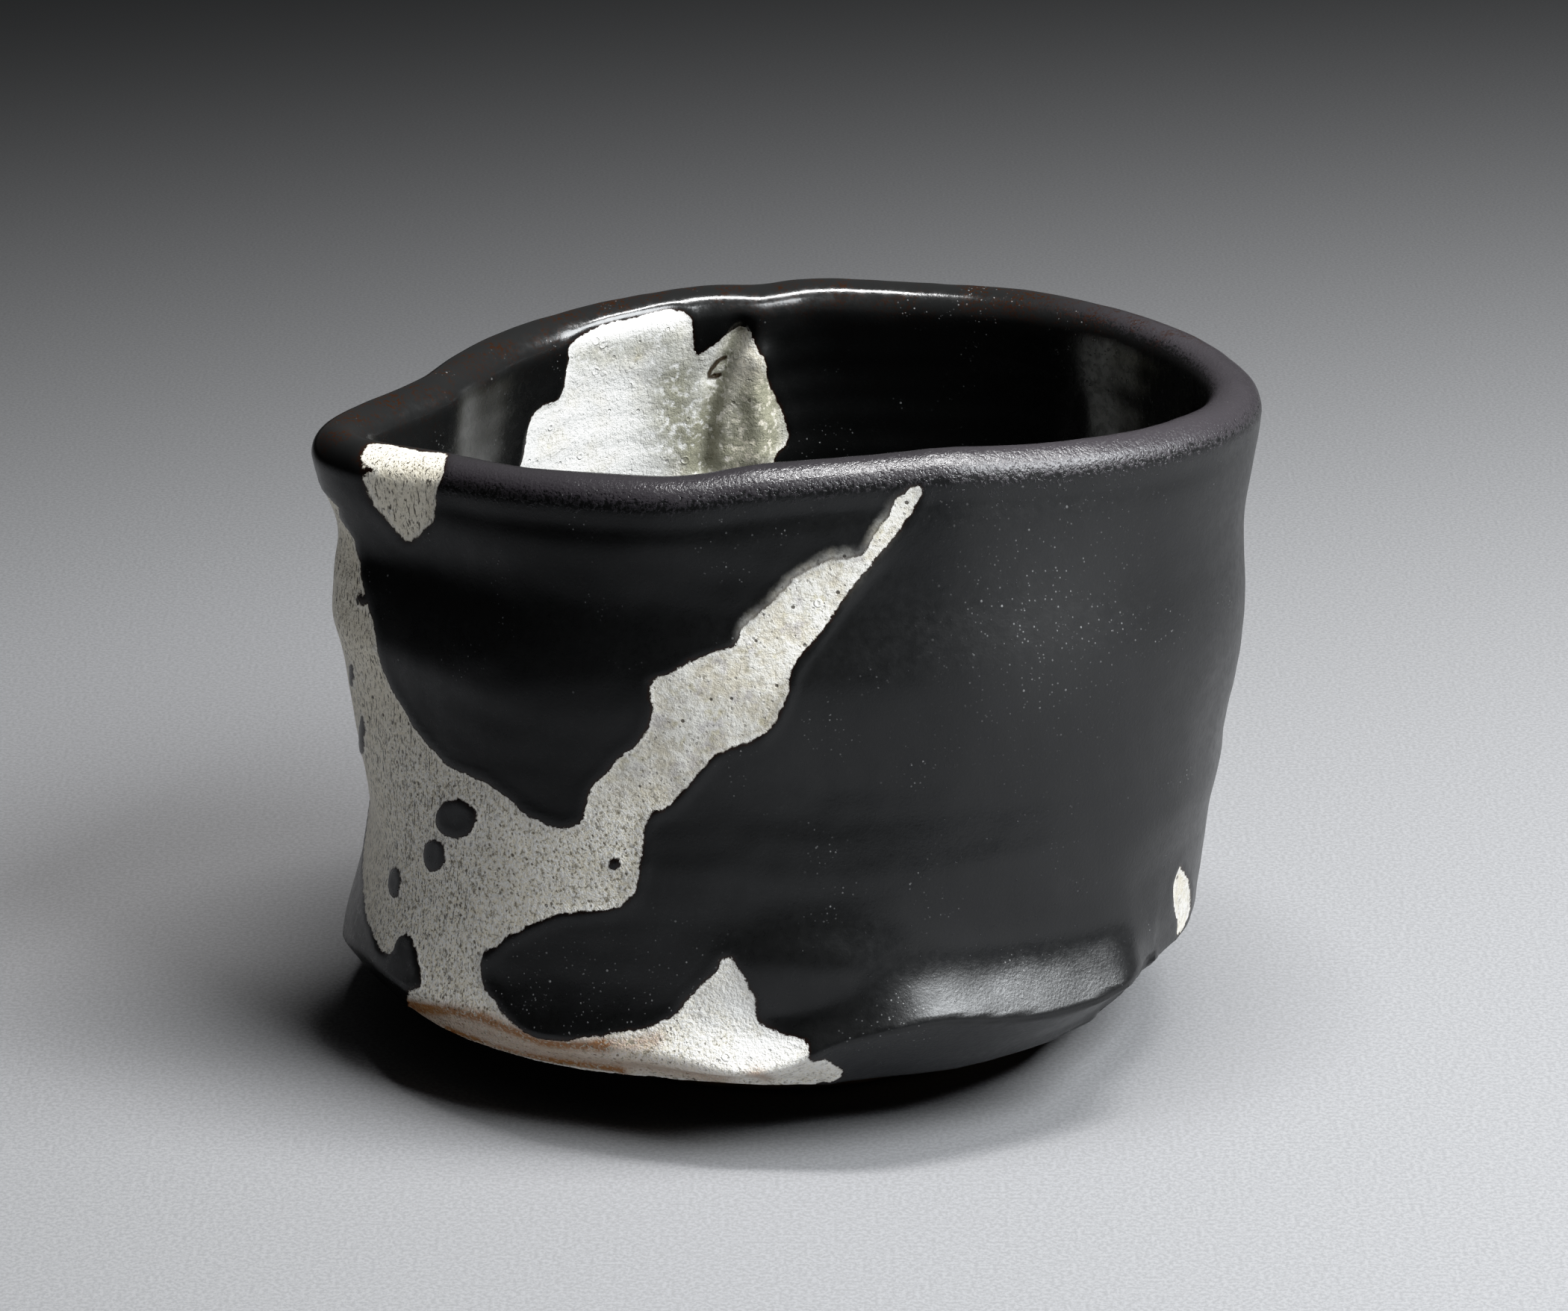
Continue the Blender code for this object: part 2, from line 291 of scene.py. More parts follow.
# The white patch inside, on the left of the back wall
INSIDE_EDGE = (
    (702, 604), (707, 575), (715, 555), (722, 548), (735, 540), (748, 537),
    (755, 520), (758, 500), (763, 480), (762, 468), (775, 453), (800, 438), (850, 425),
    (900, 413), (925, 428), (927, 450), (932, 475), (950, 468), (965, 455), (980, 445),
    (1000, 442), (1010, 460), (1020, 475), (1025, 500), (1033, 520), (1045, 545), (1055, 575),
    (1055, 590), (1045, 605), (1038, 612),
)
INSIDE_BELOW = (
    (97, 69.0), (99, 78.0), (104, 82.0), (112, 84.0), (121, 85.0), (132, 83.0), (141, 77.0),
    (145, 70.0), (146, 64.0),
)

# Strokes along lines of the photograph: height and width in millimetres, then pixels
RELIEF_STROKES = (
    (-1.0, 1.0, ((992, 447), (978, 480), (962, 520), (950, 560), (944, 600), (942, 625))),
    (0.85, 1.3, ((1016, 480), (1010, 520), (1018, 570), (1015, 610))),
    (0.25, 2.2, ((900, 470), (890, 520), (880, 580))),
    (-0.45, 0.5, ((970, 486), (960, 490), (952, 499), (951, 507), (957, 511))),
    (0.14, 0.42, ((1175, 752), (1130, 806), (1085, 870), (1062, 905), (1042, 965), (1018, 990))),
    (0.16, 0.42, ((955, 1016), (908, 1070), (868, 1094), (856, 1120), (857, 1160), (843, 1200))),
    (0.14, 0.42, ((840, 1207), (815, 1219), (750, 1226), (710, 1243), (670, 1266), (648, 1290))),
    (0.35, 0.55, ((1092, 1421), (1105, 1428), (1114, 1444))),
)
STAIN_STROKES = (
    (1.0, 0.6, ((543, 1345), (600, 1354), (643, 1364), (695, 1385), (734, 1399), (804, 1402))),
    (0.8, 0.5, ((600, 1380), (643, 1396), (700, 1414), (760, 1426), (830, 1435), (916, 1449))),
    (0.6, 0.6, ((804, 1402), (850, 1398), (880, 1392))),
    (0.7, 0.7, ((1012, 1440), (1026, 1446))),
    (0.6, 1.6, ((560, 1356), (650, 1384), (740, 1414), (860, 1430), (960, 1444))),
)
# Painted shade inside: in the fold's crease and where the inner wall turns from the light, mottled
# grey-green
SHADE_AND_MOTTLE_STROKES = (
    (0.9, 1.0, ((985, 452), (968, 500), (952, 560), (944, 620))),
    (0.95, 3.0, ((905, 510), (905, 560), (930, 610))),
    (0.9, 3.0, ((1005, 540), (990, 615))),
    (0.5, 1.2, ((780, 480), (840, 470), (900, 452))),
    (0.9, 1.8, ((1022, 530), (1030, 590))),
)
CRACK_STROKES = (
    (1.0, 0.32, ((970, 486), (960, 490), (952, 499), (951, 507), (957, 511), (963, 509))),
)

# Black spots in the white: middle and half size across and up, in pixels
BLACK_SPOTS = (
    (610, 1097, 27, 27),
    (581, 1146, 15, 22),
    (528, 1182, 9, 20),
    (482, 803, 5, 10),
    (484, 985, 4, 26),
    (470, 905, 3, 14),
    (823, 1158, 8, 8),
    (497, 631, 5, 4),
)


# Small sums on whole arrays


def mix(low, high, share):
    return low + (high - low) * share


def smooth(share):
    """An even S from 0 to 1."""
    share = np.clip(share, 0.0, 1.0)
    return share * share * (3 - 2 * share)


def swell(apart, spread):
    """1 in the middle, fading to nothing about two spreads away."""
    return np.exp(-((apart / spread) ** 2))


def turned_from(angle, middle):
    """The angle from the middle one, between minus and plus half a turn."""
    return (angle - middle + math.pi) % math.tau - math.pi


def evenly(low, high, steps):
    """The values after low, up to and with high."""
    return [mix(low, high, (step + 1) / steps) for step in range(steps)]


def steps_of(length, step):
    return max(1, round(abs(length) / step))


# The profile, as (radius, height) pairs round the wall's middle


def inner_offset(height):
    """How far the inside is from the wall's middle: thinnest just under the lip."""
    waist = LIP_CENTRE - LIP_DROP
    if height > waist:
        thickness = mix(WALL_THICKNESS, LIP_THICKNESS, smooth((height - waist) / LIP_DROP))
    else:
        share = smooth((height - EDGE_HEIGHT) / (waist - EDGE_HEIGHT))
        thickness = mix(BASE_THICKNESS, WALL_THICKNESS, share)
    return thickness - OUTER_OFFSET


def along_line(start, end, step):
    """Points after start, up to and with end."""
    count = steps_of(math.dist(start, end), step)
    return [tuple(mix(a, b, share) for a, b in zip(start, end)) for share in evenly(0, 1, count)]


def underside():
    """From the middle of the recess, over the foot ring, out to the body's lower edge."""
    outer = FOOT_DIAMETER / 2
    inner = outer - FOOT_RING_WIDTH
    turns = (
        (inner - RECESS_DEPTH / 2, RECESS_DEPTH, UNDER_STEP * 2),
        (inner - FOOT_CHAMFER / 2, RECESS_DEPTH * 2 / 3, UNDER_STEP),
        (inner, FOOT_CHAMFER, UNDER_STEP),
        (inner + FOOT_CHAMFER, 0.0, UNDER_STEP),
        (outer - FOOT_CHAMFER, 0.0, UNDER_STEP * 2),
        (outer, FOOT_CHAMFER, UNDER_STEP),
        (outer + FOOT_DRAFT, FOOT_HEIGHT, UNDER_STEP / 2),
        (OUTSIDE - 2 * EDGE_ROUNDING, EDGE_HEIGHT - EDGE_ROUNDING, UNDER_STEP / 2),
        (OUTSIDE - EDGE_ROUNDING / 2, EDGE_HEIGHT - EDGE_ROUNDING * 2 / 3, EDGE_STEP),
        (OUTSIDE, EDGE_HEIGHT, EDGE_STEP),
    )
    points = [(0.0, RECESS_DEPTH)]
    for radius, height, step in turns:
        points += along_line(points[-1], (radius, height), step)
    return points


def outer_wall():
    return along_line((OUTSIDE, EDGE_HEIGHT), (OUTSIDE, LIP_CENTRE), WALL_STEP)


def lip():
    """Over the round lip, from its outer side to its inner side."""
    radius = OUTER_OFFSET
    angles = evenly(0.0, math.pi, LIP_STEPS)
    return [(MIDDLE + radius * math.cos(a), LIP_CENTRE + radius * math.sin(a)) for a in angles]


def inside():
    """From the lip's inner side, down the wall and round the corner to the middle of the floor."""
    corner_top = FLOOR_HEIGHT + FLOOR_CORNER
    fine_until = LIP_CENTRE - INNER_FINE_DEPTH
    heights = evenly(LIP_CENTRE, fine_until, steps_of(INNER_FINE_DEPTH, INNER_STEP))
    heights += evenly(fine_until, corner_top, steps_of(fine_until - corner_top, DEEPER_STEP))
    points = [(MIDDLE - inner_offset(height), height) for height in heights]
    flat = points[-1][0] - FLOOR_CORNER
    for angle in evenly(0.0, math.pi / 2, CORNER_STEPS):
        across = flat + FLOOR_CORNER * math.cos(angle)
        points.append((across, corner_top - FLOOR_CORNER * math.sin(angle)))
    for share in evenly(0.0, 1.0, FLOOR_ROWS):
        points.append((flat * (1 - share), FLOOR_HEIGHT - FLOOR_DISH * smooth(share)))
    return points


def profile():
    """The whole profile, each point with its place along it from the wall's lower edge."""
    under = underside()
    points = under + outer_wall() + lip() + inside()
    places = [0.0]
    for start, end in zip(points, points[1:]):
        places.append(places[-1] + math.dist(start, end))
    edge = places[len(under) - 1]
    return [(radius, height, place - edge) for (radius, height), place in zip(points, places)]


# The warp, which pushes the turned pot out of round


def wall_middle(angle, rise):
    """The middle of the wall seen from above, as x and y."""
    half_length = mix(EDGE_LENGTH, LIP_LENGTH, rise) / 2
    half_depth = mix(EDGE_DEPTH, LIP_DEPTH, rise) / 2
    turned = angle - LIP_TURN * rise
    along = np.abs(np.cos(turned) / half_length) ** SQUARENESS
    across = np.abs(np.sin(turned) / half_depth) ** SQUARENESS
    radius = (along + across) ** (-1 / SQUARENESS)
    prow = np.maximum(0.0, (rise - PROW_START) / (1 - PROW_START))
    radius = radius + PROW_REACH * prow * swell(turned_from(angle, PROW_ANGLE), PROW_SPREAD)
    radius = radius - PRESS_DEPTH * rise * swell(turned_from(angle, PRESS_ANGLE), PRESS_SPREAD)
    shift = mix(EDGE_SHIFT, LIP_SHIFT, rise)
    return shift + radius * np.cos(angle), radius * np.sin(angle)


def wall_outward(angle, rise):
    """The direction straight out of the wall, seen from above."""
    step = math.radians(1)
    ahead = wall_middle(angle + step, rise)
    behind = wall_middle(angle - step, rise)
    along_x, along_y = ahead[0] - behind[0], ahead[1] - behind[1]
    length = np.hypot(along_x, along_y)
    return along_y / length, -along_x / length


def push(angle, rise):
    """How far the potter's touches and the flare carry the wall out."""
    out = FLARE * swell(turned_from(angle, FLARE_ANGLE), FLARE_SPREAD) * swell(rise, FLARE_SHARE)
    for middle, spread, middle_rise, share, distance in TOUCHES:
        at_angle = swell(turned_from(angle, math.radians(middle)), math.radians(spread))
        out = out + distance * at_angle * swell(rise - middle_rise, share)
    return out


def facet_cut(angle, height):
    """How far the knife has taken the outside in, under the top line of each facet."""
    cut = np.zeros_like(angle)
    for first, last, run_in, run_out, top, depth in FACETS:
        middle, half = math.radians((first + last) / 2), math.radians((last - first) / 2)
        along = turned_from(angle, middle)
        share = smooth((along + half) / math.radians(run_in))
        share = share * smooth((half - along) / math.radians(run_out))
        line = EDGE_HEIGHT + top * share
        cut = np.maximum(cut, depth / top * (line - np.maximum(height, EDGE_HEIGHT)))
    return cut


def ledge(angle, height):
    """The flare down to the ledge's crease, and the undercut below it."""
    degrees, *rows = np.array(LEDGE).T
    at = [np.degrees(angle) % 360 + step * LEDGE_SOFTNESS for step in (-1.5, -0.5, 0.5, 1.5)]
    crease, out, under = (np.interp(at, degrees, row, 0.0, 0.0).mean(axis=0) for row in rows)
    above = height - EDGE_HEIGHT - crease
    below = np.clip(-above / np.maximum(crease, 0.1), 0.0, 1.0)
    left = LEDGE_FLARE - np.maximum(above, 0.0)
    flare = (left + np.hypot(left, LEDGE_FILLET)) / (2 * LEDGE_FLARE)
    return out * flare - (out + under) * below


def knuckle_shift(angle, rise):
    """The lip's small swellings: how far out and how far up."""
    share = smooth((rise - KNUCKLES_ABOVE) / (1 - KNUCKLES_ABOVE))
    out = np.zeros_like(angle)
    lift = np.zeros_like(angle)
    for middle, wide, outwards, upwards in KNUCKLES:
        at_angle = swell(turned_from(angle, math.radians(middle)), math.radians(wide))
        out += outwards * at_angle
        lift += upwards * at_angle
    return out * share, lift * share


def lip_lift(angle, rise):
    """The lip's tilt and its saddle, which fade out down the wall."""
    tilt = LIP_TILT * np.cos(angle - LIP_TILT_ANGLE)
    saddle = -LIP_SADDLE * np.cos(2 * (angle - LIP_SADDLE_ANGLE))
    return (tilt + saddle) * smooth((rise - LIP_MOVES_ABOVE) / (1 - LIP_MOVES_ABOVE))


def fold(angle, rise):
    at_angle = swell(turned_from(angle, FOLD_ANGLE), FOLD_SPREAD)
    return FOLD_DEPTH * at_angle * swell(rise - FOLD_RISE, FOLD_SHARE)


def warped(x, y, z):
    """Where the points of the turned pot go."""
    radius = np.hypot(x, y)
    angle = np.arctan2(y, x)
    rise = np.clip((z - EDGE_HEIGHT) / (LIP_CENTRE - EDGE_HEIGHT), 0.0, 1.0)
    offset = radius - MIDDLE
    outside = smooth(0.5 + offset / LIP_THICKNESS)
    out, lift = knuckle_shift(angle, rise)
    offset = offset + push(angle, rise) + out
    offset = offset + (ledge(angle, z) - facet_cut(angle, z)) * outside
    offset = offset - fold(angle, rise) * mix(1.0, FOLD_OUTSIDE_SHARE, outside)
    middle_x, middle_y = wall_middle(angle, rise)
    outward_x, outward_y = wall_outward(angle, rise)
    core = FOOT_DIAMETER / 2 + FOOT_DRAFT
    follows = smooth((radius - core) / (MIDDLE - WALL_MARGIN - core))
    new_x = mix(EDGE_SHIFT + x, middle_x + outward_x * offset, follows)
    new_y = mix(y, middle_y + outward_y * offset, follows)
    return np.stack([new_x, new_y, z + (lip_lift(angle, rise) + lift) * follows], axis=1)


# Turning the mesh


def turned_pot():
    """The profile spun round the Z axis into a closed mesh, in millimetres."""
    pot = bmesh.new()
    place = pot.verts.layers.float.new("place")
    points = []
    for radius, height, along in profile():
        point = pot.verts.new((radius, 0.0, height))
        point[place] = along
        points.append(point)
    lines = [pot.edges.new(pair) for pair in zip(points, points[1:])]
    sector = math.tau / 2**DOUBLINGS
    bmesh.ops.spin(
        pot,
        geom=points + lines,
        cent=(0, 0, 0),
        axis=(0, 0, 1),
        angle=sector,
        steps=COLUMNS // 2**DOUBLINGS,
    )
    for doubling in range(DOUBLINGS):
        whole = pot.verts[:] + pot.edges[:] + pot.faces[:]
        copy = bmesh.ops.duplicate(pot, geom=whole)["geom"]
        turn = Matrix.Rotation(sector * 2**doubling, 3, "Z")
        corners = [part for part in copy if isinstance(part, bmesh.types.BMVert)]
        bmesh.ops.rotate(pot, cent=(0, 0, 0), matrix=turn, verts=corners)
    bmesh.ops.remove_doubles(pot, verts=pot.verts, dist=0.001)
    bmesh.ops.recalc_face_normals(pot, faces=pot.faces)
    mesh = bpy.data.meshes.new("sake_cup_glazed")
    pot.to_mesh(mesh)
    pot.free()
    return mesh


def read(items, name, width):
    """A value of every item, in a row each."""
    flat = np.zeros(len(items) * width)
    items.foreach_get(name, flat)
    return flat.reshape(-1, width)


def set_points(mesh, points):
    mesh.vertices.foreach_set("co", points.astype(np.float32).ravel())
    mesh.update()


# Drawing on the cup: from a pixel of the photograph to a place on the surface


class View:
    """The photograph's view of a mesh: finds the place on it behind a pixel."""

    def __init__(self, mesh, angle, place):
        self.points = [Vector(point) for point in read(mesh.vertices, "co", 3)]
        self.faces = [tuple(face.vertices) for face in mesh.polygons]
        self.tree = BVHTree.FromPolygons(self.points, self.faces)
        self.angle = angle
        self.place = place
        self.eye = EYE
        self.ahead = -BACK
        self.right = Vector((1.0, 0.0, 0.0))
        self.up = self.right.cross(self.ahead)

    def ray(self, pixel_x, pixel_y):
        focus = PIXELS_PER_MM * VIEW_DISTANCE
        across = (pixel_x - PHOTO_WIDTH / 2) / focus
        upwards = (PHOTO_HEIGHT / 2 - pixel_y) / focus
        return (self.ahead + self.right * across + self.up * upwards).normalized()

    def hit(self, pixel_x, pixel_y):
        """The point and face behind a pixel; one just off the cup is moved in until it hits."""
        for _ in range(MOST_MOVES):
            point, _, face, _ = self.tree.ray_cast(self.eye, self.ray(pixel_x, pixel_y))
            if face is not None:
                return point, face
            pixel_x = mix(pixel_x, PHOTO_WIDTH / 2, MOVE_ACROSS)
            pixel_y = mix(pixel_y, PHOTO_HEIGHT / 2, MOVE_UP)
        raise ValueError(f"nothing of the cup lies near pixel {pixel_x:.0f}, {pixel_y:.0f}")

    def place_at(self, pixel_x, pixel_y):
        """Angle and place along the profile behind a pixel."""
        point, face = self.hit(pixel_x, pixel_y)
        corners = self.faces[face]
        shares = poly_3d_calc([self.points[i] for i in corners], point)
        first = self.angle[corners[0]]
        turned = [turned_from(self.angle[i], first) for i in corners]
        angle = first + sum(share * turn for share, turn in zip(shares, turned))
        place = sum(share * self.place[i] for share, i in zip(shares, corners))
        return angle, place

    def places(self, pixels):
        return [self.place_at(*pixel) for pixel in pixels]


def hidden(places):
    return [(math.radians(angle), place) for angle, place in places]


def rounded(points, steps=3):
    """A closed outline with a smooth curve through its points."""
    before, after, beyond = (np.roll(points, shift, axis=0) for shift in (1, -1, -2))
    curve = []
    for share in np.arange(steps) / steps:
        slope = (after - before) * share
        bend = (2 * before - 5 * points + 4 * after - beyond) * share**2
        twist = (3 * points - before - 3 * after + beyond) * share**3
        curve.append(points + (slope + bend + twist) / 2)
    return np.stack(curve, axis=1).reshape(-1, 2)


def flat_places(angle, place, middle):
    """Places laid out flat in millimetres, round a middle angle."""
    return np.stack([turned_from(np.asarray(angle), middle) * MIDDLE, np.asarray(place)], axis=1)


def from_piece(points, start, end):
    """How far each point is from a straight piece of a line."""
    side = end - start
    offset = points - start
    share = np.clip(offset @ side / max(side @ side, TINY), 0.0, 1.0)
    return np.hypot(*(offset - share[:, None] * side).T)


def in_box(points, line, margin):
    """Which points lie in the box round a line, widened by a margin."""
    low, high = line.min(axis=0) - margin, line.max(axis=0) + margin
    return np.all((points > low) & (points < high), axis=1)


def depth_in(points, outline):
    """How far each point lies inside a closed outline, and negative outside it."""
    nearest = np.full(len(points), np.inf)
    within = np.zeros(len(points), dtype=bool)
    for start, end in zip(outline, np.roll(outline, -1, axis=0)):
        nearest = np.minimum(nearest, from_piece(points, start, end))
        crosses = (start[1] > points[:, 1]) != (end[1] > points[:, 1])
        if start[1] != end[1]:
            share = (points[:, 1] - start[1]) / (end[1] - start[1])
            within ^= crosses & (points[:, 0] < mix(start[0], end[0], share))
    return nearest * np.where(within, 1.0, -1.0)


# How far from an outline the distance to it is kept
REACH = 8.0
TINY = 1e-12
SPOT_CORNERS = 10


def area_depth(view, corners, middle):
    """How deep each point lies in an area given by its corners, out to the reach."""
    outline = rounded(flat_places(*zip(*corners), middle))
    points = flat_places(view.angle, view.place, middle)
    near = in_box(points, outline, REACH)
    depth = np.full(len(points), -REACH)
    depth[near] = np.clip(depth_in(points[near], outline), -REACH, REACH)
    return depth


def strokes(view, lines):
    """How strongly each point is touched by strokes along lines of the photograph."""
    total = np.zeros(len(view.angle))
    for strength, width, pixels in lines:
        corners = view.places(pixels)
        middle = corners[0][0]
        points = flat_places(view.angle, view.place, middle)
        line = flat_places(*zip(*corners), middle)
        near = in_box(points, line, 3 * width)
        apart = [from_piece(points[near], *ends) for ends in zip(line, line[1:])]
        total[near] += strength * swell(np.minimum.reduce(apart), width)
    return total


def spot_corners(view, middle_x, middle_y, half_x, half_y):
    """The places round a spot's rim."""
    turns = np.linspace(0, math.tau, SPOT_CORNERS, endpoint=False)
    return view.places(
        [(middle_x + half_x * math.cos(turn), middle_y + half_y * math.sin(turn)) for turn in turns]
    )


def white_depth(view):
    """How deep each point lies in the white glaze, in millimetres."""
    front, right, back = (math.radians(degrees) for degrees in (225, 330, 120))
    field = view.places(FIELD_UPPER_EDGE + STREAK_RIGHT_EDGE + LOWER_EDGE)
    field += hidden(FIELD_UNDER_EDGE) + view.places(LEFT_PATCH_EDGE) + hidden(FIELD_BEHIND)
    areas = (
        (field, front),
        (view.places(LIP_PATCH) + hidden(LIP_PATCH_CREST), front),
        (view.places(RIGHT_LEAF), right),
        (view.places(INSIDE_EDGE) + hidden(INSIDE_BELOW), back),
    )
    depth = np.maximum.reduce([area_depth(view, *area) for area in areas])
    for spot in BLACK_SPOTS:
        depth = np.minimum(depth, -area_depth(view, spot_corners(view, *spot), front))
    return depth


# Low relief and looks

# Stretches round the cup: first and last angle and the run of both ends, in degrees
SATIN_RIGHT = (284, 400, 40)
WET_RIGHT = (280, 400, 36)
WET_FRONT = (206, 330, 20)
COMBED_LEFT = (150, 226, 16)
SUGARY_FRONT = (200, 290, 20)
# Where painted light lifts the white inside on the left
LIT_INSIDE = (108, 160, 10)

# Bands round the cup: middle place and spread up the profile in millimetres, then a stretch
LIP_CREASE = (44.2, 0.9, 205, 335, 20)
LIP_BEVEL = (47.75, 0.75, 250, 335, 16)
SATIN_LIP = (47.6, 2.6, 206, 320, 14)
RUSTY_LIP = (49.0, 3.0, 20, 205, 16)
# Where painted light lifts the white triangle low on the front
LIT_TRIANGLE = (6.0, 5.0, 258, 284, 14)
# Where a sheen is painted on the upper right, and glints low on the front left
SHEEN_RIGHT = (36.0, 8.0, 294, 316, 20)
GLINTS_LEFT = (5.0, 5.0, 226, 262, 12)

# Where the cup changes up the profile: the place and the run of the change, in millimetres
UNDER_ENDS = (-14.0, 4.0)
SUGARY_ENDS = (19.0, 8.0)
DULL_ABOVE = (20.0, 14.0)
SATIN_ENDS = (50.0, 2.0)
COMBED_ENDS = (50.0, 4.0)
WET_INSIDE_FROM = (51.0, 3.0)
LINES_INSIDE_FROM = (52.0, 4.0)
INSIDE_FROM = 50.0
CREST = 48.6
CREST_SPREAD = 2.6
WET_CREST = 48.9
WET_CREST_SPREAD = 3.2

CREASE_DEPTH = 0.15
BEVEL_DEPTH = 0.13
STEP_WIDTH = 0.8
BEAD_SETBACK = 0.35
BEAD_WIDTH = 0.45
# Height, length and seed of the glaze's waves
WAVES = ((0.035, 9.0, 3), (0.015, 3.5, 5))
LINES_PITCH = 3.1
LINES_OUTSIDE = 0.006
LINES_INSIDE = 0.03
LINES_WANDER = 1.5

# How wet the black looks, from 0 to 1
WET_LEFT = 0.5
WET_LOW_RIGHT = 0.40
WET_HIGH_RIGHT = 0.22
WET_INSIDE = 0.6
WET_BACK_LIP = 1.0
WET_FRONT_LIP = 0.78
SATIN_LIP_SHARE = 0.8
COMBED_INSIDE = 0.3

CLAY_PLACE = -12.0
CLAY_WANDER = 0.9


def uneven(points, wavelength, seed):
    """A smooth random field over the points, about -1 to 1, with bumps of one size."""
    draw = np.random.RandomState(seed)
    total = np.zeros(len(points))
    count = 28
    for _ in range(count):
        direction = draw.normal(size=3)
        direction *= math.tau / wavelength * draw.uniform(0.6, 1.4) / np.linalg.norm(direction)
        total += np.cos(points @ direction + draw.uniform(0, math.tau))
    return total * math.sqrt(2 / count) / 1.6


def at_angles(angle, first, last, run):
    """1 between two angles in degrees, fading out over a run at both ends."""
    middle, half = math.radians((first + last) / 2), math.radians((last - first) / 2)
    along = np.abs(turned_from(angle, middle))
    return smooth((half - along) / math.radians(run) + 0.5)


def past(place, start, run):
    """0 up to a place on the profile, and 1 from a run beyond it."""
    return smooth((place - start) / run)


def band(view, middle, spread, *stretch):
    """1 along a band round the cup, fading out at its sides and ends."""
    return swell(view.place - middle, spread) * at_angles(view.angle, *stretch)


def relief(view, points, white, sizes):
    """How far the glaze and the potter's marks stand out from the turned form."""
    out = -sizes.glaze_step / MM * smooth(white / STEP_WIDTH + 0.5)
    out += sizes.glaze_bead / MM * swell(white + BEAD_SETBACK, BEAD_WIDTH)
    for height, wavelength, seed in WAVES:
        out += height * uneven(points, wavelength, seed)
    wander = LINES_WANDER * uneven(points, 30.0, 8)
    lines = np.sin(view.place * math.tau / LINES_PITCH + view.angle + wander)
    out += lines * mix(LINES_OUTSIDE, LINES_INSIDE, past(view.place, *LINES_INSIDE_FROM))
    out += strokes(view, RELIEF_STROKES)
    out -= CREASE_DEPTH * band(view, *LIP_CREASE) + BEVEL_DEPTH * band(view, *LIP_BEVEL)
    return out * past(view.place, *UNDER_ENDS)


# Where the streak's edge is blurred, as pixel x, y and reach in millimetres
BLURRED_EDGE = (
    (1165, 705, 1.6),
    (1120, 738, 2.2),
    (1080, 765, 2.0),
    (1045, 792, 1.6),
    (1005, 832, 1.2),
)


def softness(view):
    """1 where the black runs thinly over the white at its edge, and 0 where the edge is crisp."""
    soft = np.zeros(len(view.angle))
    middle = math.radians(270)
    points = flat_places(view.angle, view.place, middle)
    for pixel_x, pixel_y, reach in BLURRED_EDGE:
        spot = flat_places(*zip(view.place_at(pixel_x, pixel_y)), middle)[0]
        soft = np.maximum(soft, swell(np.hypot(*(points - spot).T), reach))
    return soft


def looks(view):
    """Where each look of the glaze shows, from 0 to 1."""
    angle, place = view.angle, view.place
    satin_right = at_angles(angle, *SATIN_RIGHT) * (1 - past(place, *SATIN_ENDS))
    wet_right = mix(WET_LOW_RIGHT, WET_HIGH_RIGHT, past(place, *DULL_ABOVE))
    wet = mix(WET_LEFT, wet_right, at_angles(angle, *WET_RIGHT))
    wet = mix(wet, WET_INSIDE, past(place, *WET_INSIDE_FROM))
    wet_lip = mix(WET_BACK_LIP, WET_FRONT_LIP, at_angles(angle, *WET_FRONT))
    combed = at_angles(angle, *COMBED_LEFT)
    lit_inside = at_angles(angle, *LIT_INSIDE) * (place > INSIDE_FROM)
    return {
        # Black fired to a satin charcoal, on the right and on the front lip
        "satin": np.maximum(satin_right, SATIN_LIP_SHARE * band(view, *SATIN_LIP)),
        "rim": swell(place - CREST, CREST_SPREAD),
        # From dull black to wet and glossy black, on the lip at the back
        "wet": mix(wet, wet_lip, swell(place - WET_CREST, WET_CREST_SPREAD)),
        # Black that has run thin and breaks to brown, on the lip at the back and left
        "rust": band(view, *RUSTY_LIP),
        # White with upright lines, on the left
        "combed": mix(combed, COMBED_INSIDE, past(place, *COMBED_ENDS)),
        # Grainy white that sparkles, low on the front
        "sugary": (1 - past(place, *SUGARY_ENDS)) * at_angles(angle, *SUGARY_FRONT),
        # Smoother white with painted light, where the light falls brightest: inside on the left and
        # on the triangle
        "lit_and_smooth": np.maximum(lit_inside, band(view, *LIT_TRIANGLE)),
        # Pale flecks thick on the black; low on the front left they are painted glints, and on the
        # upper right they come with a painted sheen
        "sheen_and_glints": np.maximum(band(view, *SHEEN_RIGHT), band(view, *GLINTS_LEFT)),
    }


# Making the cup


def glazed_mesh(sizes):
    """The turned, warped and glazed cup, with a share of every look at each of its points."""
    mesh = turned_pot()
    flat = read(mesh.vertices, "co", 3)
    points = warped(*flat.T)
    middle = (points.min(axis=0) + points.max(axis=0)) / 2
    points[:, 0] += CAD_MIDDLE[0] / MM - middle[0]
    points[:, 1] += CAD_MIDDLE[1] / MM - middle[1]
    set_points(mesh, points)
    place = read(mesh.attributes["place"].data, "value", 1)[:, 0]
    view = View(mesh, np.arctan2(flat[:, 1], flat[:, 0]), place)
    white = white_depth(view)
    outward = read(mesh.vertex_normals, "vector", 3)
    points += outward * relief(view, points, white, sizes)[:, None]
    set_points(mesh, points * MM)
    shares = {
        "white": white,
        "soft": softness(view),
        "stain": strokes(view, STAIN_STROKES),
        # Painted shade inside, along strokes
        "shade_and_mottle": strokes(view, SHADE_AND_MOTTLE_STROKES),
        "crack": strokes(view, CRACK_STROKES),
        # How far below the glaze's lower end, on the bare foot
        "clay": CLAY_PLACE + CLAY_WANDER * uneven(points, 14.0, 11) - place,
        **looks(view),
    }
    for name, values in shares.items():
        layer = mesh.attributes.new(name, "FLOAT", "POINT")
        layer.data.foreach_set("value", values.astype(np.float32))
    return mesh


# Materials


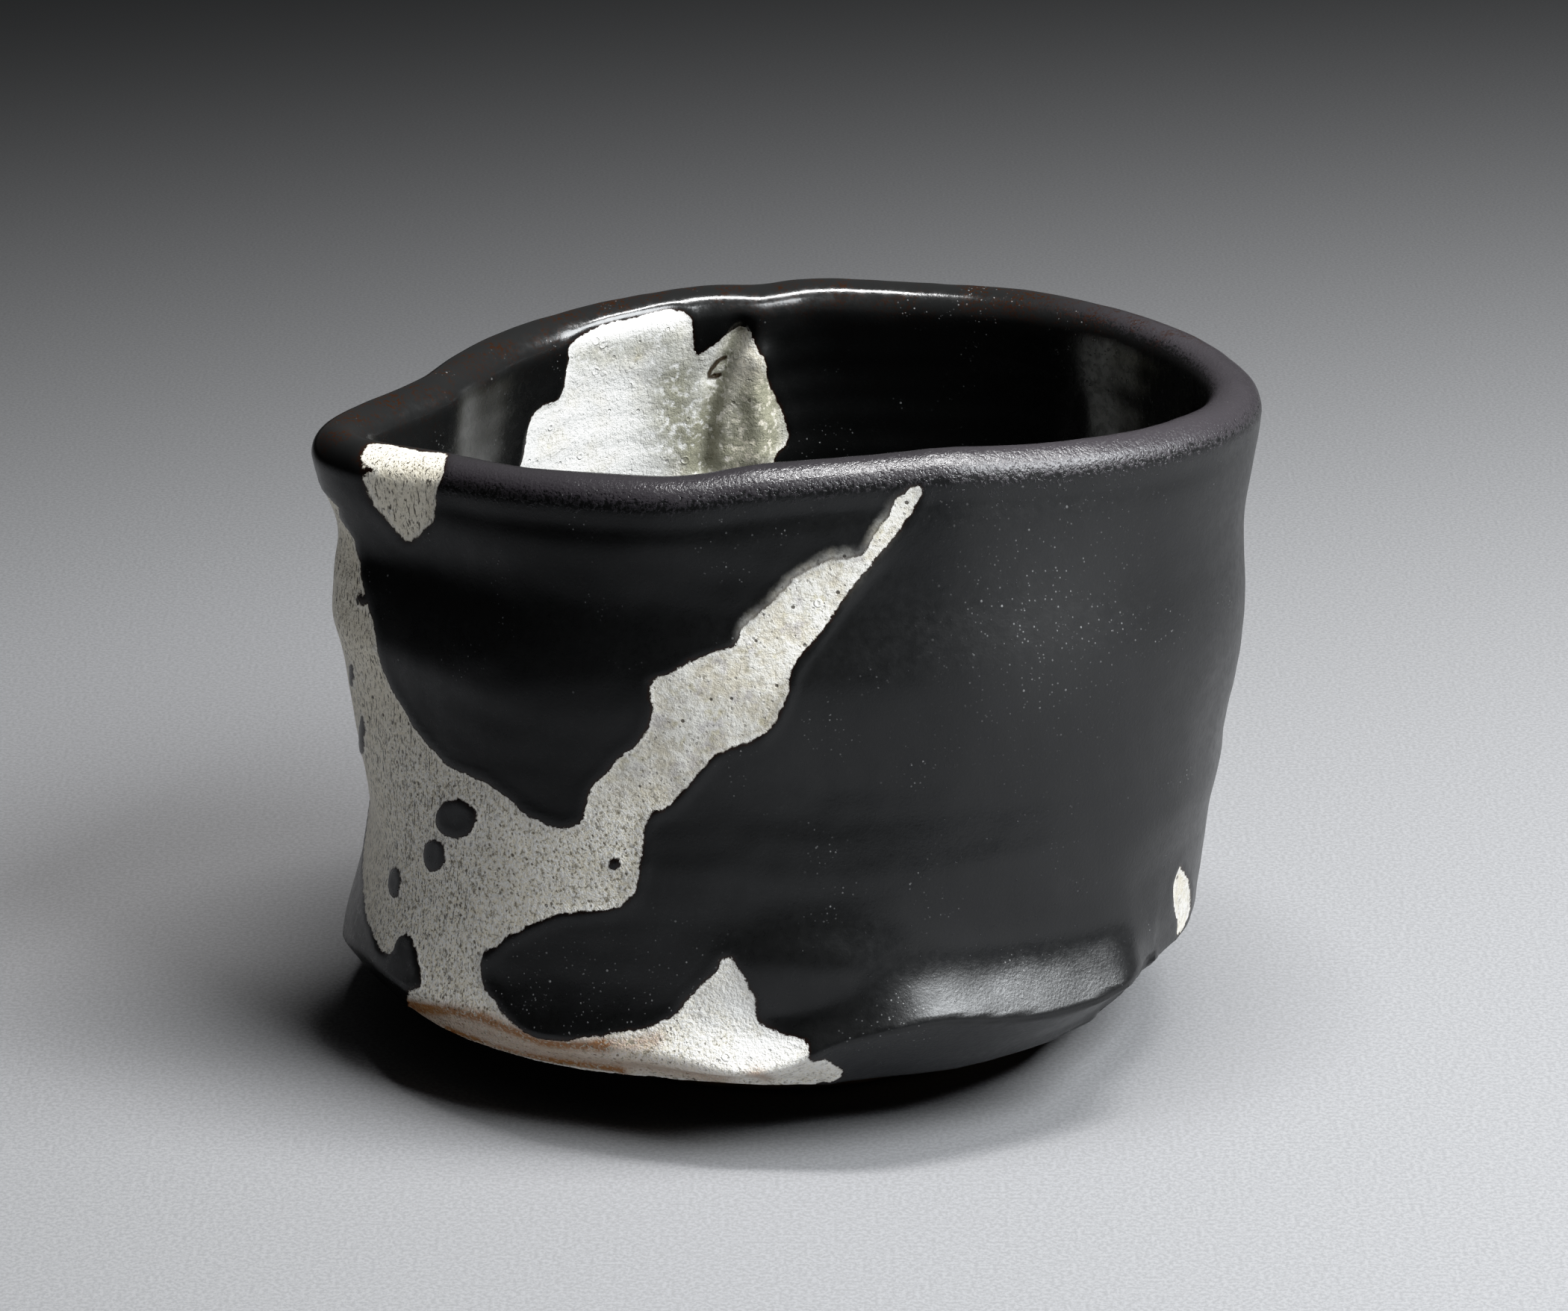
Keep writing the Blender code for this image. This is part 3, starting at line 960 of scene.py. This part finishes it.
class Paint:
    """Adds a material's nodes and joins them. Lengths are in millimetres."""

    def __init__(self, name):
        self.material = bpy.data.materials.new(name)
        self.material.use_nodes = True
        self.tree = self.material.node_tree
        self.tree.nodes.clear()
        place = self.add("ShaderNodeTexCoord", out="Object")
        self.place = self.vector("SCALE", place, scale=1 / MM)

    def add(self, kind, inputs=(), out=0, **settings):
        node = self.tree.nodes.new(kind)
        for name, value in settings.items():
            setattr(node, name, value)
        for name, value in dict(inputs).items():
            if isinstance(value, bpy.types.NodeSocket):
                self.tree.links.new(value, node.inputs[name])
            else:
                node.inputs[name].default_value = value
        return node.outputs[out]

    def vector(self, operation, first, second=(0.0, 0.0, 0.0), scale=1.0):
        inputs = {0: first, 1: second, 3: scale}
        return self.add("ShaderNodeVectorMath", inputs, operation=operation)

    def sum(self, operation, first, second=0.0, third=0.0, clamp=False):
        inputs = {0: first, 1: second, 2: third}
        return self.add("ShaderNodeMath", inputs, operation=operation, use_clamp=clamp)

    def times(self, first, *others):
        for other in others:
            first = self.sum("MULTIPLY", first, other)
        return first

    def times_plus(self, first, second, third, clamp=False):
        return self.sum("MULTIPLY_ADD", first, second, third, clamp)

    def heights(self, *pairs):
        """Patterns added up, each times its height."""
        total = 0.0
        for pattern, height in pairs:
            total = self.times_plus(pattern, height, total)
        return total

    def layers(self, colour, *layers):
        """A colour with others laid over it, each by its share."""
        for share, over in layers:
            colour = self.colours(share, colour, over)
        return colour

    def colours(self, share, low, high):
        inputs = {0: share, 6: low, 7: high}
        return self.add("ShaderNodeMix", inputs, out=2, data_type="RGBA")

    def numbers(self, share, low, high):
        return self.add("ShaderNodeMix", {0: share, 2: low, 3: high}, data_type="FLOAT")

    def ease(self, value, low, high):
        """An even S from 0 to 1 as the value goes from low to high."""
        inputs = {0: value, 1: low, 2: high}
        return self.add("ShaderNodeMapRange", inputs, interpolation_type="SMOOTHSTEP")

    def kept(self, name):
        return self.add("ShaderNodeAttribute", out="Fac", attribute_name=name)

    def noise(self, size, detail=2.0, roughness=0.5, vector=None):
        """Cloudy noise from 0 to 1, with clouds of the given size."""
        inputs = {
            "Vector": vector or self.place,
            "Scale": 1 / size,
            "Detail": detail,
            "Roughness": roughness,
        }
        return self.add("ShaderNodeTexNoise", inputs)

    def cells(self, size):
        """The distance from the middle of the nearest cell, in cells of the given size."""
        return self.add("ShaderNodeTexVoronoi", {"Vector": self.place, "Scale": 1 / size})

    def finish(self, colour, roughness, height):
        """Joins the surface up; height is in millimetres."""
        inputs = {"Height": height, "Distance": MM, "Strength": 1.0}
        normal = self.add("ShaderNodeBump", inputs)
        inputs = {"Base Color": colour, "Roughness": roughness, "Normal": normal}
        shader = self.add("ShaderNodeBsdfPrincipled", inputs)
        output = self.tree.nodes.new("ShaderNodeOutputMaterial")
        self.tree.links.new(shader, output.inputs["Surface"])
        return self.material


def cup_glaze(colours):
    """Black iron glaze, satin on the right, over pitted white glaze, with clay on the foot."""
    paint = Paint("black_and_white_glaze")
    clouds = paint.noise(3.0, 3.0, 0.55)
    ripple = paint.noise(0.7, 3.0, 0.6)
    grain = paint.noise(0.11, 2.0, 0.6)
    sand = paint.noise(0.30, 2.0, 0.6)

    # Where the white glaze shows
    ragged = paint.times_plus(paint.noise(1.3, 4.0, 0.62), 0.8, -0.4)
    crumbs = paint.times_plus(sand, 0.30, -0.15)
    edge = paint.sum("ADD", paint.kept("white"), paint.sum("ADD", ragged, crumbs))
    soft = paint.kept("soft")
    crisp_share = paint.ease(edge, -0.04, 0.04)
    soft_share = paint.ease(edge, -1.0, 0.8)
    white = paint.numbers(soft, crisp_share, soft_share)

    black = black_glaze(paint, colours, clouds, ripple, grain, sand)
    pale = white_glaze(paint, colours, clouds, ripple, grain, sand, edge)
    clay = bare_clay(paint, colours, clouds, ripple, sand)

    colour = paint.colours(white, black[0], pale[0])
    scorched = paint.times(paint.ease(edge, -0.30, -0.03), paint.ease(edge, 0.12, 0.0))
    colour = paint.colours(paint.times(scorched, 0.5), colour, colours.rust)
    roughness = paint.numbers(white, black[1], pale[1])
    height = paint.numbers(white, black[2], pale[2])

    bare = paint.ease(paint.sum("ADD", paint.kept("clay"), ragged), -0.1, 0.1)
    colour = paint.colours(bare, colour, clay[0])
    roughness = paint.numbers(bare, roughness, clay[1])
    height = paint.numbers(bare, height, clay[2])
    return paint.finish(colour, roughness, height)


def black_glaze(paint, colours, clouds, ripple, grain, sand):
    """Colour, roughness and height of the black glaze."""
    satin = paint.kept("satin")
    sheen_and_glints = paint.kept("sheen_and_glints")
    sand_sway = paint.sum("SUBTRACT", sand, 0.5)
    mottle = paint.times_plus(paint.ease(clouds, 0.2, 0.8), 0.4, paint.times_plus(sand, 1.6, -0.5))
    satiny = paint.sum("MULTIPLY", satin, mottle, clamp=True)
    front_lip = paint.times_plus(sand_sway, 1.4, paint.kept("rim"))
    front_lip = paint.times(paint.ease(front_lip, 0.25, 0.55), satin)
    thin = paint.times(paint.ease(clouds, 0.42, 0.62), paint.ease(sand, 0.48, 0.60))

    # Pale flecks in loose clusters, and a few larger specks; the clusters thicken where the sheen
    # and glints are painted
    clusters = paint.ease(paint.noise(6.0, 2.0, 0.5), 0.54, 0.70)
    clusters = paint.sum("MAXIMUM", clusters, sheen_and_glints)
    flecks = paint.times(paint.ease(paint.cells(0.40), 0.24, 0.10), paint.ease(ripple, 0.46, 0.60))
    specks = paint.times(paint.ease(paint.cells(1.7), 0.075, 0.035), clusters)
    pale = paint.times_plus(paint.times(flecks, clusters), 0.6, specks, clamp=True)
    colour = paint.layers(
        colours.black,
        (satiny, colours.charcoal),
        (front_lip, colours.violet),
        (paint.times(paint.kept("rust"), thin), colours.rust),
        # Painted sheen: a pale haze on the satin upper right, where the light falls
        (paint.times(sheen_and_glints, satin, 0.045), colours.dust_and_sheen),
        (pale, colours.dust_and_sheen),
    )

    roughness = paint.numbers(paint.kept("wet"), 0.48, 0.12)
    roughness = paint.times_plus(paint.sum("SUBTRACT", ripple, 0.5), 0.25, roughness)
    roughness = paint.times_plus(sand_sway, front_lip, roughness)
    peel = paint.times_plus(front_lip, 0.018, paint.times_plus(satin, 0.005, 0.003))
    height = paint.heights(
        (grain, peel),
        (sand, paint.times(peel, 2.0)),
        (ripple, 0.006),
        (paint.cells(0.24), paint.times(peel, 0.8)),
        (pale, 0.04),
    )
    return colour, roughness, height


def white_glaze(paint, colours, clouds, ripple, grain, sand, edge):
    """Colour, roughness and height of the white glaze."""
    combed = paint.kept("combed")
    sugary = paint.kept("sugary")
    lit_and_smooth = paint.kept("lit_and_smooth")
    tone = paint.times_plus(ripple, 0.45, paint.times(clouds, 0.55))
    haze = paint.ease(paint.noise(1.9, 3.0, 0.6), 0.54, 0.66)
    olive = paint.ease(paint.noise(1.1, 3.0, 0.6), 0.56, 0.70)
    # Painted light: the combed left and the sugary low front, mostly in shade, get a warm white
    # lighter than the lit white, standing in for fill light
    warm_and_lit = paint.sum("MAXIMUM", combed, paint.times(sugary, 0.8))

    # Grit, coarse and sugary low on the front
    grit = paint.times(paint.ease(sand, 0.43, 0.35), paint.numbers(sugary, 0.3, 0.9))
    crumbs = paint.ease(paint.noise(0.75, 4.0, 0.78), 0.46, 0.38)
    crumbs = paint.times(crumbs, paint.numbers(sugary, 0.25, 0.8))
    grains = paint.times(paint.ease(sand, 0.50, 0.58), paint.ease(grain, 0.36, 0.52), sugary)

    # Pits: round ones, upright lines on the left, and a few larger holes and burst bubbles
    upright = paint.vector("MULTIPLY", paint.place, (1.0, 1.0, 0.22))
    lines = paint.times(paint.ease(paint.noise(0.17, 2.0, 0.6, upright), 0.58, 0.66), combed)
    pit = paint.cells(0.52)
    round_pits = paint.times(
        paint.ease(paint.times_plus(sand, 0.5, pit), 0.54, 0.36),
        paint.ease(ripple, 0.47, 0.57),
        paint.numbers(sugary, 0.45, 0.8),
        paint.times_plus(lit_and_smooth, -0.7, 1.0),
    )
    holes = paint.ease(paint.cells(1.7), 0.11, 0.06)
    pits = paint.sum("MAXIMUM", paint.sum("MAXIMUM", lines, round_pits), holes)
    pit_rims = paint.times(paint.ease(pit, 0.30, 0.38), paint.ease(pit, 0.54, 0.44), sugary)
    bubble = paint.cells(2.3)
    bubbles = paint.times(paint.ease(bubble, 0.09, 0.13), paint.ease(bubble, 0.19, 0.15))
    bubbles = paint.times(bubbles, paint.ease(clouds, 0.48, 0.54))

    # With the paler band along the edge, painted light where the white is lit brightest, painted
    # shade inside, and the stains
    along_edge = paint.times(paint.ease(edge, 0.0, 0.08), paint.ease(edge, 0.45, 0.2))
    colour = paint.layers(
        paint.colours(paint.ease(tone, 0.38, 0.60), colours.white_shade, colours.white),
        (paint.times(haze, 0.6), colours.haze),
        (paint.times(olive, 0.6), colours.olive),
        (paint.times(warm_and_lit, 0.7), colours.tan),
        (grit, colours.grit),
        (crumbs, colours.grit),
        (grains, colours.ridge_and_light),
        (paint.times(pits, 0.9), colours.pit),
        (paint.times(pit_rims, 0.5), colours.ridge_and_light),
        (paint.times(bubbles, 0.5), colours.ridge_and_light),
        (paint.times(along_edge, 0.3), colours.ridge_and_light),
        # Painted light: the white is lifted towards the pale colour where the light falls brightest
        (paint.times(lit_and_smooth, paint.ease(clouds, 0.80, 0.45)), colours.ridge_and_light),
        # Painted shade, mottled grey-green, inside along the fold
        (paint.times(paint.kept("shade_and_mottle"), paint.ease(ripple, 0.30, 0.54)), colours.shade_and_mottle),
        (paint.times(paint.kept("stain"), paint.ease(sand, 0.30, 0.50)), colours.stain),
        (paint.ease(paint.kept("crack"), 0.35, 0.7), colours.pit),
    )
    roughness = paint.times_plus(grain, 0.5, 0.12)
    bumps = paint.times_plus(sugary, 0.08, 0.05)
    height = paint.heights(
        (ripple, 0.12),
        (sand, bumps),
        (grain, 0.04),
        (pits, -0.09),
        (bubbles, 0.05),
    )
    return colour, roughness, height


def bare_clay(paint, colours, clouds, ripple, sand):
    """Colour, roughness and height of the unglazed stoneware."""
    grit = paint.ease(paint.cells(0.8), 0.16, 0.10)
    colour = paint.layers(
        colours.clay,
        (paint.ease(clouds, 0.3, 0.7), colours.clay_light),
        (paint.times(grit, 0.6), colours.pit),
    )
    roughness = paint.times_plus(sand, 0.2, 0.70)
    return colour, roughness, paint.heights((ripple, 0.08), (sand, 0.06))


def floor_paper(colours):
    """Studio paper with painted shade: graded darker towards the back and the left, for the light's
    falloff.
    """
    paint = Paint("studio_paper")
    fibres = paint.noise(0.35, 2.0, 0.7)
    inputs = {"Vector": paint.place}
    side, depth = (paint.add("ShaderNodeSeparateXYZ", inputs, out=axis) for axis in "XY")
    # Painted shade: the paper darkens towards the back and a little towards the left, as the light
    # falls off
    back = paint.times_plus(side, -0.35, depth)
    colour = paint.colours(paint.ease(back, 20.0, 420.0), colours.floor, colours.floor_far_shade)
    # Darker fibres take the far floor's painted shade colour
    darker = paint.colours(0.78, colours.floor_far_shade, colour)
    colour = paint.colours(paint.ease(fibres, 0.35, 0.65), colour, darker)
    height = paint.times(fibres, 0.02)
    return paint.finish(colour, 0.85, height)


# Settings


def length(name, description, default, low, high):
    return bpy.props.FloatProperty(
        name=name,
        description=description,
        default=default,
        min=low,
        max=high,
        subtype="DISTANCE",
        unit="LENGTH",
    )


def colour(name, description, default):
    return bpy.props.FloatVectorProperty(
        name=name,
        description=description,
        default=(*default, 1.0),
        size=4,
        min=0.0,
        max=1.0,
        subtype="COLOR",
    )


class GlazeSizes(bpy.types.PropertyGroup):
    """Heights of the cup's low relief."""

    glaze_step: length("Glaze step", "How far the black stands over the white", 0.00012, 0, 0.001)
    glaze_bead: length("Glaze bead", "Height of the black's rounded edge", 0.00006, 0, 0.001)


class GlazeColours(bpy.types.PropertyGroup):
    """Colours of the cup's glazes and clay, and of the floor."""

    black: colour("Black", "Glossy black glaze on the left", (0.0150, 0.0150, 0.0148))
    charcoal: colour("Charcoal", "Satin black glaze on the right", (0.0145, 0.0145, 0.0152))
    violet: colour("Violet grey", "Satin glaze on the front lip", (0.040, 0.036, 0.040))
    rust: colour("Rust", "Where the black glaze runs thin", (0.026, 0.011, 0.006))
    # Pale specks, also used for the painted sheen on the upper right
    dust_and_sheen: colour("Dust", "Pale specks in the black glaze", (0.30, 0.30, 0.30))
    white: colour("White", "White glaze", (0.89, 0.87, 0.81))
    white_shade: colour("White shade", "Darker clouds of the white glaze", (0.71, 0.66, 0.55))
    olive: colour("Olive", "Yellowish clouds of the white glaze", (0.58, 0.53, 0.37))
    # Pale grains and rims of the white, and also its painted light where the white is lit brightest
    ridge_and_light: colour("Ridge", "Pale ridge and grains of the white glaze", (0.95, 0.94, 0.91))
    # Partly the white's own warmer tone and partly painted light: lighter than the white itself, for
    # the fill light on the shaded left and low front
    tan: colour("Tan", "Warmer white low on the front and on the left", (1.0, 0.93, 0.76))
    haze: colour("Haze", "Violet-grey clouds of the white glaze", (0.56, 0.53, 0.53))
    grit: colour("Grit", "Grit in the white glaze", (0.26, 0.23, 0.17))
    pit: colour("Pits", "Bottom of the white glaze's pits", (0.07, 0.055, 0.040))
    # Painted shade: the grey-green of the inner wall where it turns from the light
    shade_and_mottle: colour("Grey-green", "Grey-green clouds of the white inside", (0.34, 0.33, 0.25))
    stain: colour("Stain", "Iron stain at the white's lower edge", (0.34, 0.17, 0.08))
    clay: colour("Clay", "Bare stoneware of the foot", (0.20, 0.135, 0.09))
    clay_light: colour("Light clay", "Lighter clouds of the stoneware", (0.32, 0.24, 0.17))
    floor: colour("Floor", "Studio paper in front", (0.284, 0.284, 0.290))
    # Painted shade: the paper's tone at the back, where the light has fallen off
    floor_far_shade: colour("Far floor", "Studio paper at the back", (0.034, 0.034, 0.0345))


# Operators


class OBJECT_OT_glazed_cup(bpy.types.Operator):
    """Makes the cup with its glaze, in place of the plain solid"""

    bl_idname = "object.glazed_cup"
    bl_label = "Glazed cup"

    def execute(self, context):
        scene = context.scene
        mesh = glazed_mesh(scene.cup_sizes)
        mesh.shade_smooth()
        mesh.materials.append(cup_glaze(scene.cup_colours))
        cup = placed("sake_cup_glazed", mesh)
        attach(cup, "root")
        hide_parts("sake_cup")
        return {"FINISHED"}


def placed(name, data):
    """A new object in the scene."""
    item = bpy.data.objects.new(name, data)
    bpy.context.scene.collection.objects.link(item)
    return item


# Area lights: name, place, aim, size, watts and colour
LIGHTS = (
    ("key", (0.260, -0.136, 0.330), (0.0, 0.0, 0.03), (0.28, 0.17), 2.75, (0.965, 1.0, 1.025)),
    ("top", (0.065, 0.0, 0.36), (0.065, 0.0, 0.0), (0.20, 0.05), 1.3, (1.0, 1.0, 1.0)),
)
ROOM_LIGHT = (0.06, 0.06, 0.06, 1.0)
FLOOR_HALF = 1.5


def area_light(name, place, aim, size, power, colour):
    data = bpy.data.lights.new(name, "AREA")
    data.shape = "RECTANGLE"
    data.size, data.size_y = size
    data.energy = power
    data.color = colour
    light = placed(name, data)
    light.location = place
    light.rotation_euler = (Vector(aim) - Vector(place)).to_track_quat("-Z", "Y").to_euler()


# The photograph's contrast, as pairs of linear tones before and after
CONTRAST = (
    (0.005, 0.0008), (0.01, 0.0026), (0.02, 0.0105), (0.035, 0.029), (0.06, 0.058),
    (0.1, 0.102), (0.25, 0.265), (0.5, 0.56), (0.8, 0.89),
)


def photo_contrast(settings):
    settings.use_curve_mapping = True
    curve = settings.curve_mapping.curves[3]
    for before, after in CONTRAST:
        curve.points.new(before, after)
    settings.curve_mapping.update()


class OBJECT_OT_cup_stage(bpy.types.Operator):
    """Makes the floor, the studio lights and the camera at the photograph's angle"""

    bl_idname = "object.cup_stage"
    bl_label = "Stage"

    def execute(self, context):
        scene = context.scene
        sheet = bmesh.new()
        bmesh.ops.create_grid(sheet, x_segments=1, y_segments=1, size=FLOOR_HALF)
        mesh = bpy.data.meshes.new("floor")
        sheet.to_mesh(mesh)
        sheet.free()
        mesh.materials.append(floor_paper(scene.cup_colours))
        floor = placed("floor", mesh)

        for light in LIGHTS:
            area_light(*light)
        world = bpy.data.worlds.new("room")
        world.use_nodes = True
        world.node_tree.nodes["Background"].inputs["Color"].default_value = ROOM_LIGHT
        scene.world = world
        scene.view_settings.view_transform = "Standard"
        photo_contrast(scene.view_settings)

        data = bpy.data.cameras.new("camera")
        data.sensor_width = 36.0
        data.lens = PIXELS_PER_MM * VIEW_DISTANCE * data.sensor_width / PHOTO_WIDTH
        data.clip_start = 0.01
        data.clip_end = 10.0
        camera = placed("camera", data)
        camera.location = EYE * MM
        camera.rotation_euler = (-BACK).to_track_quat("-Z", "Y").to_euler()
        scene.camera = camera
        return {"FINISHED"}


class VIEW3D_PT_sake_cup(bpy.types.Panel):
    """The cup's settings and its operators"""

    bl_label = "Sake cup"
    bl_space_type = "VIEW_3D"
    bl_region_type = "UI"
    bl_category = "Sake cup"

    def draw(self, context):
        for settings in (context.scene.cup_sizes, context.scene.cup_colours):
            for name in settings.bl_rna.properties.keys():
                if name not in ("rna_type", "name"):
                    self.layout.prop(settings, name)
        for operator in (OBJECT_OT_glazed_cup, OBJECT_OT_cup_stage):
            self.layout.operator(operator.bl_idname)


CLASSES = (
    GlazeSizes,
    GlazeColours,
    OBJECT_OT_glazed_cup,
    OBJECT_OT_cup_stage,
    VIEW3D_PT_sake_cup,
)


def register():
    for item in CLASSES:
        bpy.utils.register_class(item)
    bpy.types.Scene.cup_sizes = bpy.props.PointerProperty(type=GlazeSizes)
    bpy.types.Scene.cup_colours = bpy.props.PointerProperty(type=GlazeColours)


def unregister():
    del bpy.types.Scene.cup_colours
    del bpy.types.Scene.cup_sizes
    for item in reversed(CLASSES):
        bpy.utils.unregister_class(item)


def main():
    register()
    bpy.ops.object.glazed_cup()
    bpy.ops.object.cup_stage()


if __name__ == "__main__":
    main()
